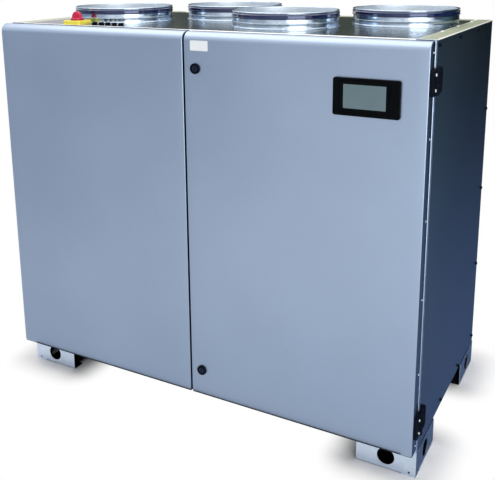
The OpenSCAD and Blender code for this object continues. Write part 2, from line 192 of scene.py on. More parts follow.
# %% Nodes and colours
def linear(code):
    """sRGB hex to linear RGBA: each channel divided by 12.92 or raised to 2.4, as sRGB says."""
    part = np.array([int(code[i:i + 2], 16) for i in (1, 3, 5)]) / 255
    light = np.where(part <= 0.04045, part / 12.92, ((part + 0.055) / 1.055) ** 2.4)
    return (*light.tolist(), 1.0)


def fill(tree, node, inputs):
    """Fills the inputs of a node: a socket is linked from, a plain value is written in."""
    for name, value in dict(inputs).items():
        if isinstance(value, bpy.types.NodeSocket):
            tree.links.new(value, node.inputs[name])
        else:
            node.inputs[name].default_value = value


def add(tree, kind, inputs=(), **settings):
    """Adds one node, sets its options and fills its inputs."""
    made = tree.nodes.new(kind)
    for name, value in settings.items():
        setattr(made, name, value)
    fill(tree, made, inputs)
    return made


def blank(name):
    """A new material with an empty node tree, and that tree."""
    made = bpy.data.materials.new(name)
    made.use_nodes = True
    made.node_tree.nodes.clear()
    return made, made.node_tree


def finish(name):
    """A new material: itself, its node tree, its Object coordinates and its empty shader."""
    made, tree = blank(name)
    shader = add(tree, "ShaderNodeBsdfPrincipled")
    add(tree, "ShaderNodeOutputMaterial", {"Surface": shader.outputs[0]})
    return made, tree, add(tree, "ShaderNodeTexCoord").outputs["Object"], shader


print("half grey in linear light", round(linear("#808080")[0], 3))

# %% [markdown]
# ## Silver powder coat
# Polyester powder with aluminium flake, baked on steel sheet. The flake lies flat, so the coat
# reflects like a dull metal: the front mirrors the bright floor, the side goes dark where the
# studio beside it is dark. Real flake is 0.05 mm; it is drawn 4 mm wide to show as a faint grain.
# Long soft clouds stand for the uneven film, and a fine ripple for the orange peel of powder.
# The coat of the sides is smoother than that of the fronts and mirrors more sharply.

# %% Silver powder coat
def powder_coat(name, dark, light, rough_low, rough_high):
    """Flake grain between two tones, film clouds in roughness, orange peel as bump, under a thin
    clear binder that keeps the highlights white."""
    made, tree, coords, shader = finish(name)
    flake = add(tree, "ShaderNodeTexNoise", {"Vector": coords, "Scale": 1 / (4 * mm), "Detail": 2.0})
    cloud = add(tree, "ShaderNodeTexNoise", {"Vector": coords, "Scale": 1 / (450 * mm), "Detail": 3.0})
    grain = add(tree, "ShaderNodeMix", {0: 0.75, 2: flake.outputs[0], 3: cloud.outputs[0]})
    tone = add(tree, "ShaderNodeMapRange",
               {"Value": grain.outputs[0], "From Min": 0.35, "From Max": 0.65})
    colour = add(tree, "ShaderNodeMix", {0: tone.outputs[0], 6: linear(dark), 7: linear(light)},
                 data_type="RGBA")
    rough = add(tree, "ShaderNodeMapRange",
                {"Value": cloud.outputs[0], "From Min": 0.3, "From Max": 0.7,
                 "To Min": rough_low, "To Max": rough_high})
    peel = add(tree, "ShaderNodeTexNoise", {"Vector": coords, "Scale": 1 / (3.5 * mm), "Detail": 1.0})
    ripple = add(tree, "ShaderNodeBump",
                 {"Height": peel.outputs[0], "Strength": 0.05, "Distance": 0.4 * mm})
    fill(tree, shader, {"Base Color": colour.outputs[2], "Metallic": 1.0,
                        "Roughness": rough.outputs[0], "Normal": ripple.outputs[0],
                        "Coat Weight": 0.35, "Coat Roughness": 0.22})
    return made


silver = powder_coat("silver_powder_coat", "#a0b2cb", "#a8bad3", 0.36, 0.42)
side_silver = powder_coat("silver_powder_coat_on_sides", "#9cadc4", "#a6b6cd", 0.20, 0.26)
print("coats", silver.name, "and", side_silver.name)

# %% [markdown]
# ## Galvanised sheet
# Hot-dip zinc freezes in flat crystals, the spangle, 4 to 22 mm wide. Each crystal reflects a
# little differently, so a Voronoi cell pattern drives colour and roughness. A cabinet mixes many
# lots of zinc: smooth grey sheet on the top, olive cover strips whose folded edges are painted pale
# as a painted highlight, bluish posts, pale matt feet, bright rolled tube, plated screws and keys.
# The feet carry painted shade inside: their finish goes dark behind the outer skin of the box that
# their plates enclose.

# %% Galvanised sheet
# The dark colour painted inside the feet: painted shade.
painted_foot_shade = "#23262b"


def past_walls(tree, spot, middle, half):
    """How far a spot lies past the walls of a box, along each axis: the size of its offset from
    the middle, less half the box. Inside the box all three are below zero."""
    off = add(tree, "ShaderNodeVectorMath", {0: spot, 1: middle}, operation="SUBTRACT")
    size = add(tree, "ShaderNodeVectorMath", {0: off.outputs[0]}, operation="ABSOLUTE")
    wall = add(tree, "ShaderNodeVectorMath", {0: size.outputs[0], 1: half}, operation="SUBTRACT")
    return wall.outputs[0]


def zinc_sheet(name, dark, light, spangle, rough_low, rough_high, brushed=0.0, shell=None):
    """Voronoi crystals of the given width tint the metal; brushed adds fine turned lines in z. A
    shell is the middle and half size of a box: what lies within its walls is painted dark, a painted
    shade."""
    made, tree, coords, shader = finish(name)
    crystal = add(tree, "ShaderNodeTexVoronoi", {"Vector": coords, "Scale": 1 / (spangle * mm)})
    grey = add(tree, "ShaderNodeSeparateColor", {0: crystal.outputs["Color"]})
    haze = add(tree, "ShaderNodeTexNoise", {"Vector": coords, "Scale": 1 / (160 * mm), "Detail": 4.0})
    mixed = add(tree, "ShaderNodeMix", {0: 0.55, 2: grey.outputs[0], 3: haze.outputs[0]})
    colour = add(tree, "ShaderNodeMix", {0: mixed.outputs[0], 6: linear(dark), 7: linear(light)},
                 data_type="RGBA")
    rough = add(tree, "ShaderNodeMapRange",
                {"Value": mixed.outputs[0], "From Min": 0.2, "From Max": 0.8,
                 "To Min": rough_low, "To Max": rough_high})
    # Painted shade: within the box of the feet the colour runs to the dark shade colour.
    if shell:
        side = add(tree, "ShaderNodeSeparateXYZ", {0: past_walls(tree, coords, *shell)})
        near = add(tree, "ShaderNodeMath", {0: side.outputs["X"], 1: side.outputs["Y"]},
                   operation="MAXIMUM")
        skin = add(tree, "ShaderNodeMapRange",
                   {"Value": near.outputs[0], "From Min": -1.2 * mm, "From Max": -0.6 * mm})
        colour = add(tree, "ShaderNodeMix",
                     {0: skin.outputs[0], 6: linear(painted_foot_shade), 7: colour.outputs[2]}, data_type="RGBA")
    fill(tree, shader, {"Base Color": colour.outputs[2], "Metallic": 1.0,
                        "Roughness": rough.outputs[0]})
    if brushed:
        squeezed = add(tree, "ShaderNodeMapping",
                       {"Vector": coords, "Scale": (1.0, 1.0, 1 / (brushed * mm))})
        lines = add(tree, "ShaderNodeTexNoise",
                    {"Vector": squeezed.outputs[0], "Scale": 1.0, "Detail": 3.0})
        relief = add(tree, "ShaderNodeBump",
                     {"Height": lines.outputs[0], "Strength": 0.08, "Distance": 0.6 * mm})
        fill(tree, shader, {"Normal": relief.outputs[0]})
    return made


feet = np.array([[*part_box("foot_front_left")[0]], [*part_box("foot_rear_right")[1]]])
foot_shell = (tuple(feet.mean(axis=0)), tuple(np.ptp(feet, axis=0) / 2))
foot_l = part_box("foot_front_left")[1][0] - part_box("foot_front_left")[0][0]
print("foot shell", np.round(foot_shell, 4).tolist(), "foot length", round(foot_l, 4))

# %% [markdown]
# ## Lots of zinc
# Each lot gives its two tones, the width of its crystals in millimetres and its roughness. The
# folded edges of the strips and the rivets take a paler, duller zinc, a painted highlight; rolled
# tube has turned lines, drawn 3 mm apart to show.

# %% Lots of zinc
top_zinc = zinc_sheet("galvanised_sheet", "#6c7675", "#7d8786", 22, 0.16, 0.22)
strip_zinc = zinc_sheet("pale_galvanised_strip", "#94a08a", "#c9d1b8", 10, 0.46, 0.58)
corner_zinc = zinc_sheet("blue_galvanised_post", "#a9bbdc", "#c3d2ec", 10, 0.42, 0.52)
# The post behind the split is painted dark: painted shade for the narrow gap between the fronts.
gap_zinc_painted_shade = zinc_sheet("dark_galvanised_post_painted_shade", "#33383e", "#444a50", 12, 0.40, 0.50)
painted_highlight_zinc = zinc_sheet("pale_zinc_painted_highlight", "#e9eae6", "#f8f8f5", 6, 0.66, 0.78)
# The rails take a pale zinc so that their sharp top edge shows a bright line: a painted highlight.
rail_zinc_painted_highlight = zinc_sheet("pale_galvanised_rail_painted_highlight", "#dbe2ea", "#f0f4f8", 10, 0.44, 0.54)
foot_zinc = zinc_sheet("matt_galvanised_feet_painted_shade_inside", "#c6d6ea", "#dce8f8", 9, 0.30, 0.40, shell=foot_shell)
tube_zinc = zinc_sheet("bright_galvanised_tube", "#aebfd4", "#d2e2f2", 14, 0.15, 0.23, brushed=3)
# The bore is the tube's zinc made rougher and painted paler so the inside reads lit: painted light.
bore_zinc = zinc_sheet("galvanised_bore_painted_light", "#d3e2f0", "#eaf3fc", 10, 0.48, 0.60)
screw_zinc = zinc_sheet("zinc_plated_screws", "#b9bfc6", "#dfe3e6", 4, 0.22, 0.34)
key_zinc = zinc_sheet("black_nickel_keys", "#252e40", "#3a4660", 4, 0.16, 0.26)
print("metal finishes", len(bpy.data.materials))

# %% [markdown]
# ## Plastics, rubber, glass and paper
# Moulded parts carry a spark-eroded grain that scatters the light, so a fine noise drives bump
# and roughness. The lip seals are extruded rubber with a slick skin: a blue-black body under a
# clear coat, which picks up the bars of the lamps. Foam tape is dead matt. The switch is gloss ABS
# in signal colours, with small clear highlights. The display is a grey-green cell behind a glossy
# cover; the label is coated white film. Real grain is about 0.1 mm; it is drawn 1 to 3 mm wide to
# show.

# %% Plastics and rubber
def moulded_finish(name, dark, light, grain, rough_low, rough_high, relief=0.2, extra=()):
    """Smears between two tones, and a grain of the given width that lifts the surface a little;
    extra fills further inputs of the shader."""
    made, tree, coords, shader = finish(name)
    fine = add(tree, "ShaderNodeTexNoise", {"Vector": coords, "Scale": 1 / (grain * mm), "Detail": 3.0})
    smear = add(tree, "ShaderNodeTexNoise", {"Vector": coords, "Scale": 1 / (60 * mm), "Detail": 4.0})
    colour = add(tree, "ShaderNodeMix", {0: smear.outputs[0], 6: linear(dark), 7: linear(light)},
                 data_type="RGBA")
    rough = add(tree, "ShaderNodeMapRange",
                {"Value": smear.outputs[0], "From Min": 0.3, "From Max": 0.7,
                 "To Min": rough_low, "To Max": rough_high})
    grainy = add(tree, "ShaderNodeBump",
                 {"Height": fine.outputs[0], "Strength": relief, "Distance": 0.3 * mm})
    fill(tree, shader, {"Base Color": colour.outputs[2], "Roughness": rough.outputs[0],
                        "Normal": grainy.outputs[0], **dict(extra)})
    return made


black_nylon = moulded_finish("black_glass_filled_nylon", "#03060f", "#0a1020", 1.5, 0.42, 0.58,
                             extra={"Specular IOR Level": 0.06})
black_abs = moulded_finish("black_satin_abs", "#030507", "#090c0f", 1.2, 0.24, 0.36,
                           extra={"Specular IOR Level": 0.03})
black_epdm = moulded_finish("dark_epdm_rubber", "#04113a", "#0a2258", 2, 0.08, 0.14, 0.03,
                            {"Specular IOR Level": 0.6, "Specular Tint": linear("#8fb0ff"),
                             "Coat Weight": 0.9, "Coat Roughness": 0.05, "Coat IOR": 1.55})
foam_with_painted_shade = moulded_finish("black_foam_tape_painted_joint_shade", "#060709", "#101216", 1, 0.80, 0.95, 0.3,
                            {"Specular IOR Level": 0.1})
yellow_abs = moulded_finish("yellow_gloss_abs", "#f5e132", "#fcf05c", 2, 0.22, 0.32, 0.08)
red_abs = moulded_finish("red_gloss_abs", "#bd0a3a", "#d0184e", 2, 0.20, 0.30, 0.08)
white_film = moulded_finish("white_label_film", "#dde4e8", "#e9eef1", 3, 0.35, 0.45, 0.05)
display_cell = moulded_finish("display_cell_under_cover", "#4f676f", "#5d747a", 3, 0.10, 0.16,
                              0.03, {"Coat Weight": 0.5, "Coat Roughness": 0.05})
print("finishes in all", len(bpy.data.materials))

# %% [markdown]
# ## Floor
# A wide pale floor runs out of the picture. Within a hand's width of the feet it is plain matt
# paint and takes their shadow; further out it turns white for the camera and for reflections, as
# a paper sweep does. Between the two plates of a foot the floor's colour is painted near black, a
# painted shadow.

# %% Stage sheets
floor_z, floor_reach = -0.0005, 60


def quad(low, high):
    """Corners of a flat rectangle between two opposite corners that agree in one axis: along the
    first axis that differs, then along the second, and back."""
    low, high = np.array(low, float), np.array(high, float)
    first = np.flatnonzero(high != low)[0]
    near, far = low.copy(), high.copy()
    near[first], far[first] = high[first], low[first]
    return [low, near, high, far]


def stage_sheet(name, quads):
    """A stage piece of flat quads, each with four corners in metres."""
    corners = np.asarray(quads, float).reshape(-1, 3)
    mesh = bpy.data.meshes.new(name)
    mesh.from_pydata(corners.tolist(), [], np.arange(len(corners)).reshape(-1, 4).tolist())
    made = bpy.data.objects.new(name, mesh)
    bpy.context.scene.collection.objects.link(made)
    made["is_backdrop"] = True
    return made


floor = stage_sheet("floor", [quad((-floor_reach, -floor_reach, floor_z),
                                   (floor_reach, floor_reach, floor_z))])
print(floor.name, "reaches", floor_reach, "m each way")

# %% Paper sweep
shadow_w = 0.12
# Where the painted shadow in the corner of each foot starts, is full and fades, in metres.
shadow_paint_from, shadow_paint_full, shadow_paint_fade = -0.002, -0.006, 0.02


def seen_directly(tree):
    """One for camera, glossy and transmission rays, none for the rays that carry light."""
    ray = add(tree, "ShaderNodeLightPath").outputs
    either = add(tree, "ShaderNodeMath", {0: ray["Is Camera Ray"], 1: ray["Is Glossy Ray"]},
                 operation="MAXIMUM")
    return add(tree, "ShaderNodeMath", {0: either.outputs[0], 1: ray["Is Transmission Ray"]},
               operation="MAXIMUM").outputs[0]


paper, tree = blank("paper_sweep")
spot = add(tree, "ShaderNodeTexCoord").outputs["Object"]
past = past_walls(tree, spot, *foot_shell)
half_foot = (foot_l / 2, foot_l / 2, 0.0)
beside = past_walls(tree, past, tuple(-v for v in half_foot), half_foot)
outside = add(tree, "ShaderNodeVectorMath", {0: beside, 1: (0.0, 0.0, 0.0)}, operation="MAXIMUM")
flat = add(tree, "ShaderNodeVectorMath", {0: outside.outputs[0], 1: (1.0, 1.0, 0.0)},
           operation="MULTIPLY")
reach = add(tree, "ShaderNodeVectorMath", {0: flat.outputs[0]}, operation="LENGTH")
away = add(tree, "ShaderNodeMapRange",
           {"Value": reach.outputs["Value"], "From Min": 0.0, "From Max": shadow_w},
           interpolation_type="SMOOTHSTEP")
white = add(tree, "ShaderNodeMath", {0: away.outputs[0], 1: seen_directly(tree)},
            operation="MULTIPLY")
# Painted shadow: in the corner of each foot the floor's colour runs to near black.
depth = add(tree, "ShaderNodeSeparateXYZ", {0: past})
edge, deep = [add(tree, "ShaderNodeMath", {0: depth.outputs["X"], 1: depth.outputs["Y"]},
                  operation=pick) for pick in ("MAXIMUM", "MINIMUM")]
inward = add(tree, "ShaderNodeMapRange",
             {"Value": edge.outputs[0], "From Min": shadow_paint_from, "From Max": shadow_paint_full})
corner_of = add(tree, "ShaderNodeMapRange",
                {"Value": deep.outputs[0], "From Min": -foot_l, "From Max": shadow_paint_fade - foot_l})
painted_foot_shadow = add(tree, "ShaderNodeMath", {0: inward.outputs[0], 1: corner_of.outputs[0]},
           operation="MULTIPLY")
grey = add(tree, "ShaderNodeMix", {0: painted_foot_shadow.outputs[0], 6: linear("#f2f2f2"), 7: linear("#17181a")},
           data_type="RGBA")
matt = add(tree, "ShaderNodeBsdfDiffuse", {"Color": grey.outputs[2]})
glow = add(tree, "ShaderNodeEmission", {"Color": linear("#ffffff"), "Strength": 1.0})
blend = add(tree, "ShaderNodeMixShader",
            {0: white.outputs[0], 1: matt.outputs[0], 2: glow.outputs[0]})
add(tree, "ShaderNodeOutputMaterial", {"Surface": blend.outputs[0]})
floor.data.materials.append(paper)
print("paper with", len(tree.nodes), "nodes")

# %% [markdown]
# ## Cards for the mirror images
# A metal coat shows the room more than its own colour, so a studio sets cards that only the
# mirror images see: a dark one beside the back for the side panel, an olive one behind for the
# top, a grey one on the floor and far in front for the fronts, blue-grey ones at both sides for
# the spigots, and a black one under the unit for the dark line below the fronts.

# %% Cards
def mirror_card(name, quads, tones, course, fade):
    """A card of quads that only mirror images see. Its tone runs from the first to the second along
    the course, an axis with a start and an end in metres, and to the third along the fade."""
    made = stage_sheet(name, quads)
    for ray in ("camera", "diffuse", "transmission", "volume_scatter", "shadow"):
        setattr(made, "visible_" + ray, False)
    cloth, tree = blank(name + "_cloth")
    place = add(tree, "ShaderNodeSeparateXYZ", {0: add(tree, "ShaderNodeTexCoord").outputs["Object"]})
    along, out = [add(tree, "ShaderNodeMapRange",
                      {"Value": place.outputs[axis], "From Min": start, "From Max": end},
                      interpolation_type="SMOOTHSTEP") for axis, start, end in (course, fade)]
    tone = add(tree, "ShaderNodeMix", {0: along.outputs[0], 6: linear(tones[0]), 7: linear(tones[1])},
               data_type="RGBA")
    faded = add(tree, "ShaderNodeMix", {0: out.outputs[0], 6: tone.outputs[2], 7: linear(tones[2])},
                data_type="RGBA")
    dull = add(tree, "ShaderNodeEmission", {"Color": faded.outputs[2], "Strength": 1.0})
    add(tree, "ShaderNodeOutputMaterial", {"Surface": dull.outputs[0]})
    made.data.materials.append(cloth)
    print(name, len(quads), "quads")


mirror_card("side_card", [quad((0.6826, 0.376, 0.001), (3.4, 0.376, 1.7)),
                          quad((0.6826, -0.45, 0.001), (3.4, 0.376, 0.001))],
            ("#465775", "#121a18", "#54686e"), ("Z", 0.0, 1.35), ("X", 0.70, 1.25))
mirror_card("back_card", [quad((-3.0, 1.7, 1.1), (2.6, 1.7, 2.2))],
            ("#dcd8e2", "#454d47", "#ffffff"), ("X", -2.3, -1.3), ("Z", 1.7, 2.15))
mirror_card("front_card", [quad((-14.0, -7.0, 0.002), (1.5, -0.4, 0.002)),
                           quad((-14.0, -7.0, 0.002), (1.5, -7.0, 3.0))],
            ("#c0c2c9", "#ffffff", "#d4d7dc"), ("X", -3.0, 0.4), ("Y", -1.7, -0.6))
mirror_card("tube_cards", [quad((-3.4, -2.6, 0.8), (-3.4, 2.6, 1.7)),
                           quad((3.4, -0.6, 0.8), (3.4, 2.6, 1.7))],
            ("#8799ad", "#33495c", "#ffffff"), ("X", -3.0, 3.0), ("Z", 1.5, 1.7))
mirror_card("under_card", [quad((-0.66, -0.31, 0.004), (0.65, 0.34, 0.004)),
                           quad((-0.66, -0.385, 0.083), (0.65, -0.325, 0.083))],
            ("#0c0d10", "#14161a", "#0c0d10"), ("X", -0.6, 0.6), ("Y", 0.2, 0.34))

# %% [markdown]
# ## World and soft boxes
# The room is white where it is seen, in the picture or in a mirror image, and dimmer for the light
# that it gives. An overhead soft box draws the bright band along the bent tops; an upright one
# beside the camera puts the white bars on the spigots.

# %% World
world = bpy.data.worlds.new("studio")
bpy.context.scene.world = world
world.use_nodes = True
tree = world.node_tree
tree.nodes.clear()
room = add(tree, "ShaderNodeBackground", {"Color": linear("#f4f6fa"), "Strength": 0.65})
sweep = add(tree, "ShaderNodeBackground", {"Color": linear("#ffffff"), "Strength": 1.0})
seen = add(tree, "ShaderNodeMixShader",
           {0: seen_directly(tree), 1: room.outputs[0], 2: sweep.outputs[0]})
add(tree, "ShaderNodeOutputWorld", {"Surface": seen.outputs[0]})
bpy.context.scene.view_settings.view_transform = "Standard"
print("world with", len(tree.nodes), "nodes")

# %% Soft boxes
def soft_box(name, place, target, size, power, tint):
    """A rectangular lamp of one tint at a place, turned so that it shines on its target."""
    lamp = bpy.data.lights.new(name, "AREA")
    lamp.shape = "RECTANGLE"
    lamp.size, lamp.size_y = size
    lamp.energy = power
    lamp.color = linear(tint)[:3]
    made = bpy.data.objects.new(name, lamp)
    back = np.array(place) - np.array(target)
    back = back / np.linalg.norm(back)
    side = np.cross([0.0, 0.3, 1.0] if abs(back[2]) < 0.9 else [0.0, 1.0, 0.0], back)
    side = side / np.linalg.norm(side)
    turn = np.eye(4)
    turn[:3, :3] = np.stack([side, np.cross(back, side), back], axis=1)
    turn[:3, 3] = place
    made.matrix_world = Matrix(turn.tolist())
    bpy.context.scene.collection.objects.link(made)


soft_box("overhead_box", (-0.3, -0.3, 2.9), (-0.2, -0.2, 0.6), (3.8, 2.6), 45.0, "#fff1e4")
soft_box("upright_box", (3.0, -2.6, 1.1), (0.1, 0.0, 0.9), (2.4, 2.2), 58.0, "#ffffff")

# %% [markdown]
# ## Plates with soft edges
# Many pieces are plates: panels, leaves, strips, labels. A plate is a stack of rounded rectangles,
# each inset by its step of the edge's quarter circle. A box with a Bevel modifier gives the same
# look, but in a stack each step can be placed by hand.

# %% Stacked plates
corner_n = 7
ring_n = 4 * corner_n
hold_in = 0.6
least_r = 0.2


def rounded_ring(w, h, r):
    """A rounded rectangle about the origin: four quarter circles of radius r whose centres sit r
    inside the corners; the straight sides are the spans between them."""
    turn = np.radians(np.concatenate([np.linspace(q, q + 90, corner_n) for q in (0, 90, 180, 270)]))
    quarter = np.repeat([[1, 1], [-1, 1], [-1, -1], [1, -1]], corner_n, axis=0)
    return quarter * [w / 2 - r, h / 2 - r] + r * np.stack([np.cos(turn), np.sin(turn)], -1)


def stacked(w, h, r, steps):
    """Rounded rectangles stacked along the third axis: each step is (inset, height); an inset
    shrinks both sides and the corner radius alike. The ends close to the middle. One more ring just
    inside the last one holds the shading of the edge away from the flat face."""
    steps = [*steps, (steps[-1][0] + hold_in, steps[-1][1])]
    rings = [np.c_[rounded_ring(w - 2 * i, h - 2 * i, max(r - i, least_r)), np.full(ring_n, z)]
             for i, z in steps]
    first = np.tile([0.0, 0.0, steps[0][1]], (ring_n, 1))
    last = np.tile([0.0, 0.0, steps[-1][1]], (ring_n, 1))
    return np.stack([first, *rings, last])


def round_edge(radius, thick, count=6):
    """Steps of a plate from its back edge to its face: up the side, then a quarter circle in."""
    turn = np.radians(np.linspace(0, 90, count))
    curve = np.c_[radius * (1 - np.cos(turn)), thick - radius + radius * np.sin(turn)]
    return [(0.0, 0.0), *map(tuple, curve)]


print("a plate has", len(stacked(40, 20, 4, round_edge(2, 5))), "rings of", ring_n, "points")

# %% [markdown]
# ## Bent sheet fronts
# Each front is one sheet: folded back round the bottom and the sides, and rolled over the top in
# a wide bend. So the path of the sheet in y and z is carried across the width, and at both ends
# it turns the corner on a quarter circle. A hollow of a few tenths of a millimetre keeps the face
# from looking like a mirror-flat slab. A strip of black foam closes the joint between the top
# flange and the frame; its black is also painted shade for the joint.

# %% Path of a front
hem_r, bend_r, flange_fall = 8.0, 25.0, 2.5
hem_n, face_n, bend_n = 7, 40, 17


def front_path(depth, height):
    """Path of a front's outer face from the bottom return over the face to the top flange, with
    its outward normals: a line, a quarter circle, a line, a wide quarter circle and a line."""
    low = arc((hem_r, hem_r), hem_r, 270, 180, hem_n)
    high = arc((bend_r, height - bend_r), bend_r, 180, 90, bend_n)
    face = np.stack([np.zeros(face_n), np.linspace(hem_r, height - bend_r, face_n + 2)[1:-1]], -1)
    path = run((depth, 0), low, face, high, (depth, height - flange_fall))
    normal = run((0, -1), (low - hem_r) / hem_r, np.tile([-1.0, 0.0], (face_n, 1)),
                 (high - [bend_r, height - bend_r]) / bend_r, (0, 1))
    return path, normal


print("the path has", len(front_path(50, 1100)[0]), "points")

# %% Skin of a front
edge_r, edge_n, across_n, sheet_t = 2.2, 7, 24, 1.2
hollow_deep, hollow_wave = 0.35, 0.12


def front_skin(name, node, body):
    """The path carried across the width; at each end it is drawn in by the edge radius times
    (1 - cosine) along its normal while it moves out by the sine, and a flat wall closes the end."""
    low, high = layout_box(node)
    width, depth, height = high - low
    path, normal = front_path(depth, height)
    turn = np.radians(np.linspace(90, 0, edge_n))
    out, fall = edge_r * (1 - np.sin(turn)), edge_r * (1 - np.cos(turn))
    flat = np.linspace(edge_r, width - edge_r, across_n + 2)[1:-1]
    across = np.concatenate([out, flat, width - out[::-1]])
    drawn = np.concatenate([fall, np.zeros(across_n), fall[::-1]])
    section = path[:, None] - normal[:, None] * drawn[None, :, None]
    u = np.clip(across / width, 0, 1)[None, :]
    v = np.clip(path[:, 1] / height, 0, 1)[:, None]
    hollow = hollow_deep * np.sin(np.pi * u) * np.sin(np.pi * v)
    hollow = hollow + hollow_wave * np.sin(3 * np.pi * u) ** 2 * np.sin(2 * np.pi * v) ** 2
    on_face = (normal[:, 0] < -0.999)[:, None]
    grid = np.stack([np.broadcast_to(across, section.shape[:2]), section[..., 0] + hollow * on_face,
                     section[..., 1]], -1)
    inner = path - normal * edge_r
    walled = inner[(normal[:, 0] < -1e-9) | (normal[:, 1] > 0.5)]
    reach = np.linspace(0, 1, 3)[None, :, None]
    back = np.stack([np.full(len(walled), depth), walled[:, 1]], -1)
    wall = walled[:, None] * (1 - reach) + back[:, None] * reach
    ends = [np.concatenate([np.full((*wall.shape[:2], 1), x), wall], -1) for x in (0.0, width)]
    patches = [(grid + low, False, 0)] + [(end + low, False, 1) for end in ends]
    made = piece(name, patches, [silver, side_silver], body, sharp=60)
    thick = made.modifiers.new("sheet", "SOLIDIFY")
    thick.thickness = sheet_t / 1000
    thick.offset = -1.0
    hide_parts(node)
    return made


print("sheet of", sheet_t, "mm with a hollow of", hollow_deep, "mm")

# %% Fronts and their tapes
tape_short, tape_w, tape_t, tape_edge = 12, 5.0, 3.4, 0.8
tape_in, tape_down = 2.8, 3.8


def flange_tape(name, node, body):
    """A black foam strip along the top flange's back edge, with round edges; its black is also painted
    shade.
    """
    low, high = layout_box(node)
    tape = stacked(high[0] - low[0] - tape_short, tape_w, 1.0, round_edge(tape_edge, tape_t))
    middle = [(low[0] + high[0]) / 2, high[1] - tape_in, high[2] - tape_down]
    piece(name, [(tape + middle, True, 0)], [foam_with_painted_shade], body)


for hand, node, body in (("left", "left_front_panel", "casing"), ("right", "right_door", "door")):
    made = front_skin(f"{hand}_front_sheet", node, body)
    flange_tape(f"{hand}_flange_tape", node, body)
    print(made.name, len(made.data.polygons), "faces")

# %% [markdown]
# ## Insulated panels with folded edges
# A side or back panel is a thick slab between two sheets: painted outside, bare zinc inside. Its
# outer sheet is folded round small edges. The slab is a stacked plate that sits a hair inside the
# drawing, so that the heads of its screws stay within it.

# %% Panels
proud = 1.3
panel_r = 2.5
panel_axes = {"left_side_panel": (1, 2, 0, 1), "right_side_panel": (1, 2, 0, -1),
              "back_panel": (0, 2, 1, -1)}
for node, (a, b, c, facing) in panel_axes.items():
    low, high = layout_box(node)
    size, mid = high - low, (low + high) / 2
    stack = stacked(size[a], size[b], panel_r, round_edge(panel_r, size[c] - proud))
    grid = np.zeros_like(stack)
    grid[..., a] = stack[..., 0] + mid[a]
    grid[..., b] = stack[..., 1] + mid[b]
    grid[..., c] = high[c] - stack[..., 2] if facing > 0 else low[c] + stack[..., 2]
    patches = [(grid[:2], True, 1), (grid[1:], True, 0)]
    made = piece(node.replace("_panel", "_sheet"), patches, [side_silver, top_zinc], "casing")
    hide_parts(node)
    print(made.name, len(made.data.polygons), "faces")

# %% [markdown]
# ## Cover strips
# Thin strips cover the joints along the top. Their edges are folded down over a flat quarter
# ellipse, and that fold takes a paler zinc, so the bright line along each of them is partly the
# fold's own highlight and partly a painted highlight.

# %% Cover strips
fold_w, strip_r = 3.0, 4.0
fold_turn = np.radians(np.linspace(0, 90, 6))
for node in ("top_strip_left", "top_strip_right", "top_strip_back"):
    low, high = layout_box(node)
    size, mid = high - low, (low + high) / 2
    fold = [(0.0, 0.0), *zip(fold_w * (1 - np.cos(fold_turn)),
                             size[2] * (0.2 + 0.8 * np.sin(fold_turn)))]
    cap = stacked(size[0], size[1], strip_r, fold) + [mid[0], mid[1], low[2]]
    # The fold rows take the pale zinc: a painted highlight along each edge.
    made = piece(node.replace("top_strip", "cover_strip"),
                 [(cap[:-1], True, 1), (cap[-2:], True, 0)], [strip_zinc, painted_highlight_zinc], "casing",
                 sharp=60)
    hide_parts(node)
    print(made.name, np.round(size, 1))

# %% [markdown]
# ## Duct spigots
# A spigot is a rolled tube with a foot flange, a stiffening bead, a groove for the seal and a
# curled rim. All of that is one closed outline turned round the axis, as on a lathe. The lock seam
# of the tube is a ridge a few millimetres wide, added to the radius at one angle.

# %% Turned outlines
def full_turn(count):
    """Even steps of one full turn in radians, without the last one, which is the first again."""
    return np.linspace(0, 2 * np.pi, count, endpoint=False)


def lathe(profile, count, radius=None):
    """A profile of (radius, height) turned round the upright axis: the radius times cosine and sine
    of each step, and the height. A radius that changes with the turn is given apart."""
    radius = profile[:, :1] if radius is None else radius
    across = radius * np.cos(full_turn(count))
    up = np.broadcast_to(profile[:, 1:], across.shape)
    return np.stack([across, radius * np.sin(full_turn(count)), up], -1)


print("a washer of two rings", lathe(run((1, 0), (2, 0)), 8).shape)

# %% Spigots and seals
spigot_mid = [np.mean(layout_box(f"spigot_{i}"), axis=0)[:2] for i in range(1, 5)]
tube_r, bore_r, groove_r, flange_r, seal_r = 157.5, 154.5, 156.2, 162.5, 156.4
tube_low, tube_n, seal_n = -50, 192, 160
seam_h, seam_w, seam_turn, seam_from = 0.6, 3.0, 3.6, 5
tube = run(
    (tube_r, tube_low), (bore_r, tube_low), (bore_r, 2), (bore_r, 24), (bore_r, 45.4),
    arc((156.9, 45.6), 2.4, 180, -60, 15)[1:],
    (groove_r, 43.2), (groove_r, 28.0), (tube_r, 27.6), (tube_r, 18.0),
    arc((tube_r - 0.4, 16.0), 1.6, 70, -70, 9),
    (tube_r, 14.0), (tube_r, 5.2),
    arc((tube_r + 3.0, 5.2), 3.0, 180, 270, 6),
    (flange_r - 0.5, 2.2), arc((flange_r - 0.5, 1.7), 0.5, 90, 0, 4), (flange_r, 0.0),
    (tube_r, 0.0), (tube_r, tube_low))
lip = run(
    (seal_r, 28.4), (157.8, 28.4), arc((160.3, 30.6), 0.6, 250, 430, 7),
    (159.2, 31.6), (159.2, 35.0), (159.2, 38.4), arc((160.3, 39.2), 0.6, 250, 430, 7),
    (158.4, 41.8), (157.8, 42.8), (seal_r, 42.8), (seal_r, 28.4))
ridge = seam_h * np.exp(-((full_turn(tube_n) - seam_turn) * tube_r / seam_w) ** 2)
on_wall = (tube[:, :1] > tube_r - 0.1) * (tube[:, 1:] > seam_from)
wall = lathe(tube, tube_n, tube[:, :1] + ridge * on_wall)
